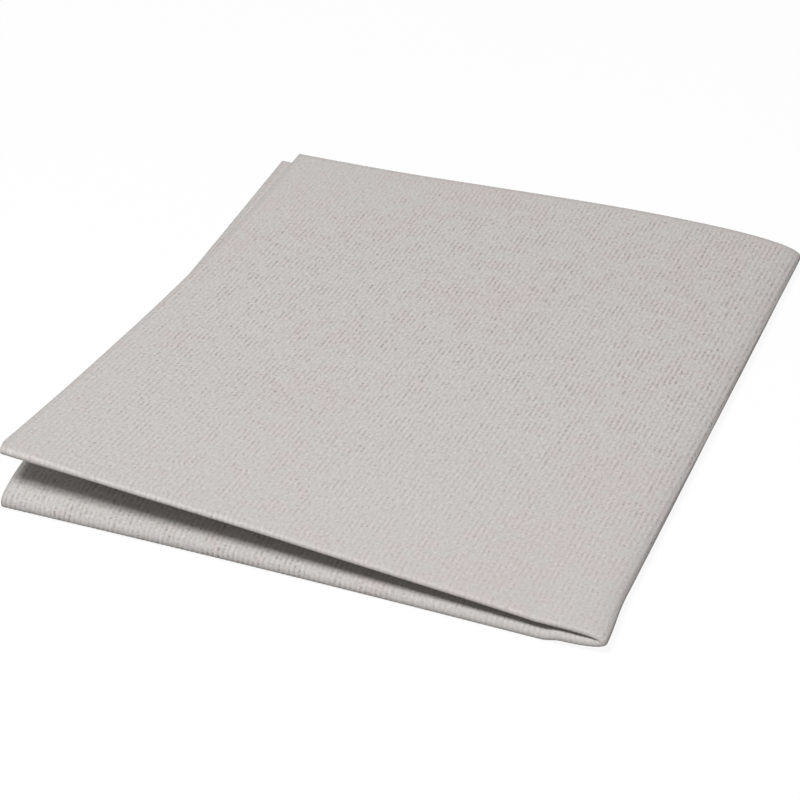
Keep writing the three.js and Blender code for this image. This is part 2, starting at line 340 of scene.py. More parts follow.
class FoldedForm:
    """Middle surface of the folded sheet.

    A place across runs from 0, the upper leaf's cut edge, through 1 to 2, the wrap round the side
    fold, to 3, the lower leaf's cut edge. The outer ply wraps round the inner one.
    """

    WRAP_BEGIN, WRAP_NOSE, WRAP_END, SHEET_END = 1, 1.5, 2, 3
    PLACE_MARKS = (0, WRAP_BEGIN, WRAP_END, SHEET_END)
    PLIES_UNDER_TOP = 3
    FRONT_LINE_PASSES = 5

    def __init__(self, sizes, shape):
        self.shape = shape
        self.half_width = sizes.folded_width / 2
        self.half_depth = sizes.folded_depth / 2
        self.width = sizes.folded_width
        self.depth = sizes.folded_depth
        self.half_thickness = sizes.thickness / 2
        self.ply_pitch = sizes.thickness + sizes.ply_gap
        self.pressed_top = self.half_thickness + self.PLIES_UNDER_TOP * self.ply_pitch
        self.wrap_start = self.half_width - shape.side_fold_reach
        self.outer_nose = self.half_width - self.half_thickness
        self.inner_nose = self.outer_nose - shape.inner_nose_inset
        self.back_crown = self.half_width - shape.back_crown_inset
        self.front_flat_start = self.half_width - shape.front_flat_width

    def depth_share(self, y):
        """Share of the way to the back edge."""
        return np.clip((y + self.half_depth) / self.depth, 0, 1)

    def bottom_height(self, x, y):
        """Bottom ply, which leaves the table only at the crossed corner."""
        shape = self.shape
        start = self.half_width - shape.corner_start
        along = ease(x, start, start + shape.corner_ramp)
        back = 1 - ease(y + self.half_depth, 0, shape.corner_depth)
        return self.half_thickness + shape.corner_lift * along * back

    def loop_rise(self, x, y):
        """Rise of the lower inner ply, by the front roll and the swelling behind it."""
        shape = self.shape
        across = np.clip((x + self.half_width) / self.width, 0, 1)
        behind = np.maximum(y + self.half_depth, 0)
        roll = lerp(shape.roll_left_rise, shape.roll_right_rise, across**shape.roll_power)
        swell = lerp(shape.swell_left_rise, shape.swell_right_rise, across)
        along = behind / shape.swell_crest
        return roll * (1 - ease(behind, 0, shape.roll_depth)) + swell * along * np.exp(1 - along)

    def lower_inner_height(self, x, y):
        """Inner ply of the lower leaf."""
        return self.bottom_height(x, y) + self.ply_pitch + self.loop_rise(x, y)

    def front_lift(self, x):
        """Lift of the top ply along the front edge."""
        run = self.front_flat_start + self.half_width
        share = np.clip((self.front_flat_start - x) / run, 0, 1)
        slope = share**self.shape.front_slope_power
        return lerp(self.shape.front_right_lift, self.shape.front_left_lift, slope)

    def back_lift(self, x):
        """Lift of the top ply along the back edge, up to the crown."""
        left = -self.half_width + self.shape.upper_back_inset
        share = np.clip((x - left) / (self.back_crown - left), 0, 1)
        swing = (1 - np.cos(np.pi * share)) / 2
        return lerp(self.shape.back_left_lift, self.shape.back_crown_lift, swing)

    def nose_height(self, lift, y):
        """Height of the side fold's outermost line."""
        foot = self.bottom_height(self.wrap_start, y)
        return lerp(foot, self.pressed_top + lift, self.shape.nose_height_share)

    def ripple(self, x, y):
        """Faint waves in the top ply, which fade out towards the side fold."""
        short, middling, long = 9 * MM, 13 * MM, 31 * MM
        phases = (0, 1, 2)
        waves = (
            np.sin(x / short + y / long + phases[0])
            + np.sin(x / middling - y / middling + phases[1])
            + np.sin(y / short + x / long + phases[2])
        )
        fade = 1 - ease(x, self.wrap_start - long, self.wrap_start)
        return self.shape.ripple_height * waves / len(phases) * fade

    def top_height(self, x, y):
        """Top ply, from its cut edge over to the side fold's outermost line."""
        shape = self.shape
        fade = (1 - self.depth_share(y)) ** shape.lift_fade_power
        back_nose = self.nose_height(shape.back_crown_lift, y)
        nose = lerp(back_nose, self.nose_height(shape.front_right_lift, y), fade)
        front_top = self.pressed_top + self.front_lift(x)
        back_top = self.pressed_top + self.back_lift(x)
        front_reach = self.outer_nose - self.front_flat_start
        back_reach = self.outer_nose - self.back_crown
        front_turn = quarter_turn((x - self.front_flat_start) / front_reach, shape.front_wrap_power)
        back_turn = quarter_turn((x - self.back_crown) / back_reach, shape.back_wrap_power)
        height = lerp(lerp(nose, back_top, back_turn), lerp(nose, front_top, front_turn), fade)
        return height + self.ripple(x, y)

    def lip_looseness(self, x, y):
        """1 at the loose left end of the upper roll, and 0 past it."""
        across = 1 - ease(x + self.half_width, 0, self.shape.lip_width)
        return across * (1 - ease(y + self.half_depth, 0, self.shape.lip_depth))

    def flare(self, y):
        """How far the side fold stands out sideways at the crossed corner."""
        shape = self.shape
        return shape.corner_flare * (1 - ease(y + self.half_depth, 0, shape.corner_flare_depth))

    def bow(self, place):
        """Swing of the lower leaf's front edge about a straight line, hollow between its ends."""
        hollow = np.sin(np.pi * np.clip(self.SHEET_END - place, 0, 1))
        mean_hollow = 2 / np.pi
        past_nose = ease(place, self.WRAP_BEGIN, self.WRAP_END)
        return self.shape.front_bow * (hollow - past_nose * mean_hollow)

    def upper_left_edge(self, y):
        """The upper leaf's cut edge at the left."""
        shape = self.shape
        share = ease(self.depth_share(y), shape.inset_start, shape.inset_end)
        tip = shape.upper_tip_inset * (1 - ease(y + self.half_depth, 0, shape.upper_tip_depth))
        return -self.half_width + lerp(shape.upper_front_inset, shape.upper_back_inset, share) + tip

    def outer_wrap(self, turn, y):
        """The outer ply's wrap: turn 0 on top, 1 at the nose, 2 underneath."""
        swing = np.sin(np.minimum(turn, 2 - turn) * np.pi / 2)
        x = lerp(self.wrap_start, self.outer_nose, swing)
        nose = self.top_height(self.outer_nose, y)
        roundness = quarter_turn(swing, self.shape.under_wrap_power)
        under = lerp(nose, self.bottom_height(x, y), roundness)
        return x + self.flare(y) * swing**2, np.where(turn <= 1, self.top_height(x, y), under)

    def inner_wrap(self, turn, y):
        """The inner ply's wrap, an open bend inside the outer one."""
        start = self.wrap_start
        outer_top = self.top_height(start, y)
        top = outer_top - self.ply_pitch
        foot = self.lower_inner_height(start, y)
        slope = (outer_top - self.top_height(start - self.ply_pitch, y)) / self.ply_pitch
        pull = (self.inner_nose + self.flare(y) - start) / self.shape.bend_share
        x = cubic_bend(start, start + pull, start + pull, start, turn / 2)
        z = cubic_bend(top, top + slope * pull, foot, foot, turn / 2)
        return x, z

    def ply_point(self, place, y, inner):
        """A point of the outer or the inner ply."""
        slip = self.shape.ply_slip * self.depth_share(y) if inner else 0.0
        upper_x = lerp(self.upper_left_edge(y) + slip, self.wrap_start, np.clip(place, 0, 1))
        lower_inset = self.shape.lower_front_inset * (1 - self.depth_share(y))
        lower_edge = lower_inset + slip - self.half_width
        lower_x = lerp(self.wrap_start, lower_edge, np.clip(place - self.WRAP_END, 0, 1))
        turn = np.clip(2 * (place - self.WRAP_BEGIN), 0, 2)
        if inner:
            wrap_x, wrap_z = self.inner_wrap(turn, y)
            drop = self.shape.lip_drop * self.lip_looseness(upper_x, y)
            upper_z = self.top_height(upper_x, y) - self.ply_pitch - drop
            lower_z = self.lower_inner_height(lower_x, y)
        else:
            wrap_x, wrap_z = self.outer_wrap(turn, y)
            rise = self.shape.lip_swell * self.lip_looseness(upper_x, y)
            upper_z = self.top_height(upper_x, y) + rise
            lower_z = self.bottom_height(lower_x, y)
        in_leaf = [place < self.WRAP_BEGIN, place > self.WRAP_END]
        x = np.select(in_leaf, [upper_x, lower_x], wrap_x)
        z = np.select(in_leaf, [upper_z, lower_z], wrap_z)
        return points(x, y, z)

    def front_line(self, place):
        """Depth at which the front fold begins: its outer face just reaches the front edge."""
        front = self.bow(place) - self.half_depth
        y = front
        for _ in range(self.FRONT_LINE_PASSES):
            spoke = self.ply_point(place, y, inner=False) - self.ply_point(place, y, inner=True)
            y = front + self.half_thickness + np.linalg.norm(spoke, axis=-1) / 2
        return y

    def back_line(self, place, inner):
        """Depth of the cut back edge."""
        x = self.ply_point(place, np.full_like(place, self.half_depth), inner=False)[:, 0]
        inset = self.shape.lower_back_inset * (self.outer_nose - x) / self.width
        slip = self.shape.ply_slip if inner else 0.0
        return self.half_depth - slip - np.where(place > self.WRAP_NOSE, inset, 0)

    def ply_row(self, place, share, inner):
        """A row across a ply, at a share of the way from the front fold to the cut back edge."""
        y = lerp(self.front_line(place), self.back_line(place, inner), share)
        return self.ply_point(place, y, inner)

    def fold_row(self, place, turn):
        """A row across the front fold, which leaves both plies without a crease."""
        y = self.front_line(place)
        step = 0.1 * MM
        outer = self.ply_point(place, y, inner=False)
        inner = self.ply_point(place, y, inner=True)
        outer_way = unit(outer - self.ply_point(place, y + step, inner=False))
        inner_way = unit(inner - self.ply_point(place, y + step, inner=True))
        radius = np.linalg.norm(outer - inner, axis=-1, keepdims=True) / 2
        pull = radius / self.shape.bend_share
        return cubic_bend(outer, outer + outer_way * pull, inner + inner_way * pull, inner, turn)


# Sheet laid on the form


class RibbedSheet:
    """The whole sheet as a grid: columns run along the ribs, rows across them.

    Rows start at the outer ply's cut back edge, come forward, turn round the front fold and go
    back along the inner ply. The face side is the one that shows; the back side is folded away.
    """

    PLACE_SAMPLES = 901
    HALF_WAY_BACK = 0.5
    RIB_ROUNDNESS = 0.8

    def __init__(self, sizes, shape, detail):
        self.form = FoldedForm(sizes, shape)
        self.samples = np.linspace(0, self.form.SHEET_END, self.PLACE_SAMPLES)
        self.sizes = sizes
        self.detail = detail
        self.regions = self.measure_regions()
        self.ribs = round(self.regions[-1] / sizes.rib_pitch)
        self.columns = self.ribs * detail.cells_per_rib
        self.across = np.linspace(0, self.regions[-1], self.columns + 1)
        self.middle = self.lay_rows()
        self.rows = len(self.middle) - 1
        self.lay_places()
        self.lay_sides()

    def measure_regions(self):
        """Distances across the outer ply, half way back, to the ends of its leaves and its wrap."""
        row = self.form.ply_row(self.samples, self.HALF_WAY_BACK, inner=False)
        return np.interp(self.form.PLACE_MARKS, self.samples, walked(row))

    def even_places(self, make_row, shift):
        """Places at which the columns cross a row, evenly spaced within each region.

        The shift carries the columns along the row: fully in its middle, and not at its ends.
        """
        marks = self.form.PLACE_MARKS
        distance = walked(make_row(self.samples))
        region_ends = np.interp(marks, self.samples, distance)
        shifted = self.across + shift * np.sin(np.pi * self.across / self.across[-1])
        wanted = np.interp(np.interp(shifted, self.regions, marks), marks, region_ends)
        return np.interp(wanted, distance, self.samples)

    def ply_makers(self, shares, inner, shift):
        """Functions that make a ply's rows, each with the shift of its columns."""
        make_row = partial(self.form.ply_row, inner=inner)
        return [(partial(make_row, share=share), shift * share) for share in shares]

    def lay_rows(self):
        """The grid of middle points, row by row."""
        detail = self.detail
        back_shift = math.tan(self.sizes.rib_lean) * self.sizes.folded_depth
        shares = np.linspace(1, 0, detail.ply_rows + 1) ** detail.row_crowding
        turns = np.arange(1, detail.fold_rows) / detail.fold_rows
        makers = self.ply_makers(shares, inner=False, shift=back_shift)
        makers += [(partial(self.form.fold_row, turn=turn), 0.0) for turn in turns]
        makers += self.ply_makers(shares[::-1], inner=True, shift=-back_shift)
        return np.array([make_row(self.even_places(make_row, shift)) for make_row, shift in makers])

    def lay_sides(self):
        """The face side and the back side, on either side of the middle surface."""
        along_rows = np.gradient(self.middle, axis=0)
        along_columns = np.gradient(self.middle, axis=1)
        self.normals = unit(np.cross(along_rows, along_columns))
        phase = np.arange(self.columns + 1) / self.detail.cells_per_rib
        groove = (1 - np.abs(np.sin(np.pi * phase)) ** self.RIB_ROUNDNESS) * self.rib_crispness()
        self.face_offset = self.form.half_thickness - self.sizes.rib_depth * groove
        self.back_offset = self.form.half_thickness - self.sizes.inside_rib_depth * groove
        self.face_side = self.middle + self.normals * self.face_offset[..., None]
        self.back_side = self.middle - self.normals * self.back_offset[..., None]

    def rib_crispness(self):
        """1 where the ribs stand fully, and less where handling has brushed them flat."""
        sizes = self.sizes
        across, lengthwise = np.moveaxis(self.places, -1, 0)
        from_fold = np.abs(lengthwise - lengthwise[-1] / 2)
        past_middle = np.maximum(across - self.across[-1] / 2, 0)
        share = np.clip((from_fold + past_middle) / sizes.brushed_length, 0, 1)
        return lerp(sizes.brushed_share, 1, share)

    def lay_places(self):
        """Each point's place on the flat sheet, with whole rib pitches on the grooves."""
        rib_number = np.arange(self.columns + 1) / self.detail.cells_per_rib
        lengthwise = walked(self.middle)
        widthwise = np.broadcast_to(rib_number * self.sizes.rib_pitch, lengthwise.shape)
        self.places = np.stack([widthwise, lengthwise], axis=-1)

    def groove_column(self, distance):
        """The column in the groove nearest to a distance across the outer ply."""
        return round(distance / self.regions[-1] * self.ribs) * self.detail.cells_per_rib

    def border(self):
        """Rows and columns of the grid's border, once round, as the face side turns."""
        rows, columns = self.rows, self.columns
        left = [(j, 0) for j in range(rows)]
        inner_back = [(rows, i) for i in range(columns)]
        right = [(j, columns) for j in range(rows, 0, -1)]
        outer_back = [(0, i) for i in range(columns, 0, -1)]
        return np.array(left + inner_back + right + outer_back)

    def outward(self, border):
        """Direction from the sheet across its border, in the plane of the cloth."""
        j, i = border.T
        down = np.where(j == 0, -1.0, np.where(j == self.rows, 1.0, 0.0))[:, None]
        side = np.where(i == 0, -1.0, np.where(i == self.columns, 1.0, 0.0))[:, None]
        along_rows = unit(np.gradient(self.middle, axis=0)[j, i])
        along_columns = unit(np.gradient(self.middle, axis=1)[j, i])
        return unit(along_rows * down + along_columns * side)


class SheetMesh:
    """Points, faces and flat places of the whole sheet, from which the pieces are cut.

    Faces are kept by the column that they stand in. Material 0 is the ribbed cloth, 1 its cut edge.
    """

    BACK_PLACE_OFFSET = (1.0, 0.0)  # the back side's places lie beside the face side's

    def __init__(self, sheet):
        self.sheet = sheet
        self.row_length = sheet.columns + 1
        self.layer = self.row_length * (sheet.rows + 1)
        flat = sheet.places.reshape(-1, 2)
        face_quads, face_columns = self.grid_quads()
        back_quads = face_quads[:, ::-1]
        rim_points, rim_quads, rim_places, rim_columns = self.lay_rim()
        self.points = np.concatenate(
            [sheet.face_side.reshape(-1, 3), sheet.back_side.reshape(-1, 3), rim_points]
        )
        self.quads = np.concatenate([face_quads, back_quads + self.layer, rim_quads])
        self.quad_places = np.concatenate(
            [flat[face_quads], flat[back_quads] + self.BACK_PLACE_OFFSET, rim_places]
        )
        self.quad_columns = np.concatenate([face_columns, face_columns, rim_columns])
        self.quad_materials = np.repeat([0, 1], [2 * len(face_quads), len(rim_quads)])
        self.normals = self.smooth_normals()

    def grid_quads(self):
        """Corner numbers of the grid's faces, and the column of each face."""
        j, i = np.indices((self.sheet.rows, self.sheet.columns))
        corner = (j * self.row_length + i).ravel()
        steps = [0, self.row_length, self.row_length + 1, 1]
        return np.stack([corner + step for step in steps], axis=1), i.ravel()

    def lay_rim(self):
        """The cut edge, rounded from the face side to the back side."""
        sheet = self.sheet
        steps = sheet.detail.edge_steps
        border = sheet.border()
        j, i = border.T
        outward = sheet.outward(border)
        face = sheet.face_offset[j, i][:, None]
        back = sheet.back_offset[j, i][:, None]
        rings = []
        for step in range(1, steps):
            turn = math.pi * step / steps
            across = (face - back) / 2 + (face + back) / 2 * math.cos(turn)
            reach = sheet.sizes.edge_bulge * math.sin(turn)
            rings.append(sheet.middle[j, i] + sheet.normals[j, i] * across + outward * reach)
        corner = j * self.row_length + i
        first = 2 * self.layer + np.arange(len(border)) * (steps - 1)
        ring_corners = [first + step for step in range(steps - 1)]
        self.rim_corners = np.stack([corner, *ring_corners, corner + self.layer], axis=1)
        after = np.roll(np.arange(len(border)), -1)
        on_back_edge = (j % sheet.rows == 0)[:, None]
        edge_way = np.where(on_back_edge, (0.0, 1.0), (1.0, 0.0)) * sheet.sizes.thickness / steps
        quads, places = [], []
        for step in range(steps):
            near, far = self.rim_corners[:, step], self.rim_corners[:, step + 1]
            here = sheet.places[j, i] + edge_way * step
            there = here + edge_way
            quads.append(np.stack([near[after], near, far, far[after]], axis=1))
            places.append(np.stack([here[after], here, there, there[after]], axis=1))
        columns = np.minimum(np.minimum(i, i[after]), sheet.columns - 1)
        rim_points = np.stack(rings, axis=1).reshape(-1, 3)
        return rim_points, np.concatenate(quads), np.concatenate(places), np.tile(columns, steps)

    def smooth_normals(self):
        """Normals averaged over the whole sheet, so that its pieces shade as one."""
        corners = self.points[self.quads]
        face_normals = np.cross(corners[:, 2] - corners[:, 0], corners[:, 3] - corners[:, 1])
        normals = np.zeros_like(self.points)
        for corner in self.quads.T:
            np.add.at(normals, corner, face_normals)
        return unit(normals)

    def cut_end(self, column, turned):
        """Faces that close a piece where it is cut from the next along a column."""
        face = np.arange(self.sheet.rows + 1) * self.row_length + column
        back = face + self.layer
        ends = np.stack([face[:-1], face[1:], back[1:], back[:-1]], axis=1).tolist()
        first = self.rim_corners[self.rim_corners[:, 0] == face[0]][0].tolist()
        last = self.rim_corners[self.rim_corners[:, 0] == face[-1]][0].tolist()
        ends += [first[::-1], [last[-1], *last[:-1]]]
        return [end[::-1] for end in ends] if turned else ends

    def piece(self, name, first_column, last_column, materials):
        """A closed piece of the sheet between two columns, as a Blender object."""
        kept = (self.quad_columns >= first_column) & (self.quad_columns < last_column)
        ends = []
        if first_column > 0:
            ends += self.cut_end(first_column, turned=True)
        if last_column < self.sheet.columns:
            ends += self.cut_end(last_column, turned=False)
        faces = self.quads[kept].tolist() + ends
        corners = np.concatenate(faces)
        end_places = np.zeros((sum(len(end) for end in ends), 2))
        places = np.concatenate([self.quad_places[kept].reshape(-1, 2), end_places])
        used, numbered = np.unique(corners, return_inverse=True)
        starts = np.cumsum([0] + [len(face) for face in faces[:-1]])
        mesh = bpy.data.meshes.new(name)
        mesh.vertices.add(len(used))
        mesh.vertices.foreach_set("co", self.points[used].astype(np.float32).ravel())
        mesh.loops.add(len(corners))
        mesh.loops.foreach_set("vertex_index", numbered.astype(np.int32))
        mesh.polygons.add(len(faces))
        mesh.polygons.foreach_set("loop_start", starts.astype(np.int32))
        mesh.polygons.foreach_set("use_smooth", np.ones(len(faces), bool))
        material_numbers = np.concatenate([self.quad_materials[kept], np.ones(len(ends), int)])
        mesh.polygons.foreach_set("material_index", material_numbers.astype(np.int32))
        mesh.uv_layers.new(name=PLACE_MAP).data.foreach_set("uv", places.astype(np.float32).ravel())
        mesh.update(calc_edges=True)
        mesh.normals_split_custom_set_from_vertices(self.normals[used].tolist())
        for material in materials:
            mesh.materials.append(material)
        piece = bpy.data.objects.new(name, mesh)
        bpy.context.scene.collection.objects.link(piece)
        return piece


# Materials


class NodeDesk:
    """Adds nodes to a tree, joins them and lays them out."""

    MIX_FIRST, MIX_SECOND, MIX_RESULT = 6, 7, 2  # colour sockets of a Mix node
    SHADER_SHARE, SHADER_FIRST, SHADER_SECOND = 0, 1, 2  # sockets of a Mix Shader node
    NOISE_DETAIL, NOISE_ROUGHNESS = 3.0, 0.6
    HALF = 0.5
    COLUMN_WIDTH, ROW_HEIGHT = 220, 260

    def __init__(self, tree):
        self.tree = tree
        tree.nodes.clear()

    def node(self, kind, inputs=None, **settings):
        """A node with its settings, and its inputs given as sockets or values."""
        made = self.tree.nodes.new(kind)
        for key, value in settings.items():
            setattr(made, key, value)
        for key, value in (inputs or {}).items():
            self.join(value, made.inputs[key])
        return made

    def join(self, value, socket):
        """Links a socket to an input, or sets the input's own value."""
        if isinstance(value, bpy.types.NodeSocket):
            self.tree.links.new(value, socket)
        else:
            socket.default_value = value

    def math(self, operation, *values):
        """The result of a Math node."""
        made = self.node("ShaderNodeMath", operation=operation)
        for number, value in enumerate(values):
            self.join(value, made.inputs[number])
        return made.outputs[0]

    def total(self, first, *more):
        """The sum of some values."""
        for value in more:
            first = self.math("ADD", first, value)
        return first

    def weighted(self, *pairs):
        """The sum of some masks, each times its weight."""
        return self.total(*(self.math("MULTIPLY", mask, weight) for mask, weight in pairs))

    def average(self, first, second):
        """The mean of two values."""
        return self.math("MULTIPLY", self.math("ADD", first, second), self.HALF)

    def centred(self, chance):
        """A noise or a chance from 0 to 1, moved to lie about 0."""
        return self.math("SUBTRACT", chance, self.HALF)

    def remap(self, value, low, high, to_low=0.0, to_high=1.0, smooth=False):
        """A value moved from one range to another, and kept in it."""
        ends = {"From Min": low, "From Max": high, "To Min": to_low, "To Max": to_high}
        kind = "SMOOTHSTEP" if smooth else "LINEAR"
        made = self.node("ShaderNodeMapRange", {"Value": value, **ends}, interpolation_type=kind)
        return made.outputs["Result"]

    def mix(self, share, first, second):
        """Two colours mixed by a share."""
        made = self.node("ShaderNodeMix", {"Factor": share}, data_type="RGBA")
        self.join(first, made.inputs[self.MIX_FIRST])
        self.join(second, made.inputs[self.MIX_SECOND])
        return made.outputs[self.MIX_RESULT]

    def brighten(self, base, factor):
        """A colour times a factor."""
        made = self.node("ShaderNodeVectorMath", {0: base, "Scale": factor}, operation="SCALE")
        return made.outputs["Vector"]

    def noise(self, place, size, stretch=(1, 1, 1)):
        """Noise whose grain is about as wide as size, a length."""
        scaled = self.node("ShaderNodeMapping", {"Vector": place, "Scale": stretch})
        frequency = self.math("DIVIDE", 1.0, size)
        inputs = {
            "Vector": scaled.outputs[0],
            "Scale": frequency,
            "Detail": self.NOISE_DETAIL,
            "Roughness": self.NOISE_ROUGHNESS,
        }
        return self.node("ShaderNodeTexNoise", inputs).outputs[0]

    def lay_out(self):
        """Places the nodes in columns, each to the left of the nodes that it feeds."""
        column = dict.fromkeys(self.tree.nodes, 0)
        for _ in self.tree.nodes:
            for link in self.tree.links:
                column[link.from_node] = max(column[link.from_node], column[link.to_node] + 1)
        filled = {}
        for node, number in column.items():
            row = filled.get(number, 0)
            filled[number] = row + 1
            node.location = (-number * self.COLUMN_WIDTH, -row * self.ROW_HEIGHT)


def new_group(name, inputs, outputs):
    """An empty shader node group, the desk to fill it at, and the sockets of its inputs."""
    group = bpy.data.node_groups.new(name, "ShaderNodeTree")
    for socket_name, kind, default in inputs:
        socket = group.interface.new_socket(socket_name, in_out="INPUT", socket_type=kind)
        if default is not None:
            socket.default_value = default
    for socket_name in outputs:
        group.interface.new_socket(socket_name, in_out="OUTPUT", socket_type="NodeSocketFloat")
    desk = NodeDesk(group)
    return group, desk, desk.node("NodeGroupInput").outputs


def stitched_ribs_group():
    """Masks of the uneven grooves between ribs and of the stitches that run along them."""
    name = "Stitched Ribs"
    if name in bpy.data.node_groups:
        return bpy.data.node_groups[name]
    group, desk, given = new_group(
        name,
        [
            ("Place", "NodeSocketVector", None),
            ("Strength", "NodeSocketFloat", 1.0),
            ("Rib Pitch", "NodeSocketFloat", RIB_PITCH),
            ("Stitch Length", "NodeSocketFloat", STITCH_LENGTH),
            ("Patch Size", "NodeSocketFloat", PATCH_SIZE),
        ],
        ["Groove", "Stitch"],
    )
    wander, wander_length = 0.5, 2 * MM  # in rib pitches, and along the cloth
    dash_length = 1.1 * MM
    faint_dash, faint_patch = 0.3, 0.3  # strength that is left where the ribs are faintest
    groove_floor, groove_edge = 0.06, 0.38  # shares of a rib pitch from the groove's middle
    dot_core, dot_edge = 0.06, 0.3  # shares of a stitch from its middle
    dot_narrowing = 1.25  # a stitch is narrower than it is long by this factor
    side_jitter, length_jitter = 0.3, 0.7  # shares of a rib pitch and of a stitch
    missing_share = 0.55  # share of the stitches that don't show
    quiet, loud = 0.4, 0.6  # noise levels
    place = given["Place"]
    split = desk.node("ShaderNodeSeparateXYZ", {"Vector": place}).outputs
    straight = desk.math("DIVIDE", split["X"], given["Rib Pitch"])
    swing = desk.centred(desk.noise(place, wander_length))
    across = desk.math("MULTIPLY_ADD", swing, wander, straight)
    rib = desk.math("ROUND", across)
    aside = desk.math("SUBTRACT", across, rib)
    dash = desk.noise(place, dash_length)
    dash = desk.remap(dash, quiet, loud, faint_dash, 1.0, smooth=True)
    patch = desk.noise(place, given["Patch Size"])
    patch = desk.remap(patch, quiet, loud, faint_patch, 1.0, smooth=True)
    patch = desk.math("MULTIPLY", patch, given["Strength"])
    line = desk.math("ABSOLUTE", aside)
    line = desk.remap(line, groove_floor, groove_edge, 1.0, 0.0, smooth=True)
    groove = desk.math("MULTIPLY", line, desk.math("MULTIPLY", dash, patch))
    own_start = desk.node("ShaderNodeTexWhiteNoise", {"W": rib}, noise_dimensions="1D").outputs[0]
    along = desk.math("ADD", desk.math("DIVIDE", split["Y"], given["Stitch Length"]), own_start)
    stitch = desk.math("ROUND", along)
    number = desk.node("ShaderNodeCombineXYZ", {"X": rib, "Y": stitch}).outputs[0]
    chance = desk.node("ShaderNodeTexWhiteNoise", {"Vector": number}, noise_dimensions="2D")
    moved = desk.node("ShaderNodeSeparateColor", {"Color": chance.outputs["Color"]}).outputs
    side = desk.math("MULTIPLY", aside, dot_narrowing)
    side = desk.math("MULTIPLY_ADD", desk.centred(moved["Red"]), side_jitter, side)
    ahead = desk.math("SUBTRACT", along, stitch)
    ahead = desk.math("MULTIPLY_ADD", desk.centred(moved["Green"]), length_jitter, ahead)
    offset = desk.node("ShaderNodeCombineXYZ", {"X": side, "Y": ahead}).outputs[0]
    away = desk.node("ShaderNodeVectorMath", {0: offset}, operation="LENGTH").outputs["Value"]
    dot = desk.remap(away, dot_core, dot_edge, 1.0, 0.0, smooth=True)
    strength = desk.math("MULTIPLY", desk.remap(chance.outputs["Value"], missing_share, 1.0), patch)
    desk.node("NodeGroupOutput", {"Groove": groove, "Stitch": desk.math("MULTIPLY", dot, strength)})
    desk.lay_out()
    return group


def fibre_felt_group():
    """Fine fibres, pale strands, soft patches and faint warm spots of the felted surface."""
    name = "Fibre Felt"
    if name in bpy.data.node_groups:
        return bpy.data.node_groups[name]
    group, desk, given = new_group(
        name,
        [
            ("Place", "NodeSocketVector", None),
            ("Fibre Size", "NodeSocketFloat", FIBRE_SIZE),
            ("Patch Size", "NodeSocketFloat", PATCH_SIZE),
            ("Warm Rise", "NodeSocketFloat", 0.0),
        ],
        ["Fibres", "Strands", "Patches", "Warmth"],
    )
    lengthwise, crosswise, strandwise = (1, 0.4, 1), (0.5, 1, 1), (1.3, 0.3, 1)
    strand_start, strand_full = 0.56, 0.72  # noise levels
    warm_start, warm_full = 0.515, 0.575  # noise levels
    wide = 7  # sizes of a patch over which warm patches gather
    place, fibre_size, patch_size = given["Place"], given["Fibre Size"], given["Patch Size"]
    along, across, strand = (
        desk.noise(place, fibre_size, stretch) for stretch in (lengthwise, crosswise, strandwise)
    )
    fibres = desk.average(along, across)
    strands = desk.remap(strand, strand_start, strand_full, smooth=True)
    patches = desk.noise(place, patch_size)
    gathered = desk.noise(place, desk.math("MULTIPLY", patch_size, wide))
    warm_level = desk.math("ADD", desk.average(patches, gathered), given["Warm Rise"])
    warmth = desk.remap(warm_level, warm_start, warm_full, smooth=True)
    made = {"Fibres": fibres, "Strands": strands, "Patches": patches, "Warmth": warmth}
    desk.node("NodeGroupOutput", made)
    desk.lay_out()
    return group


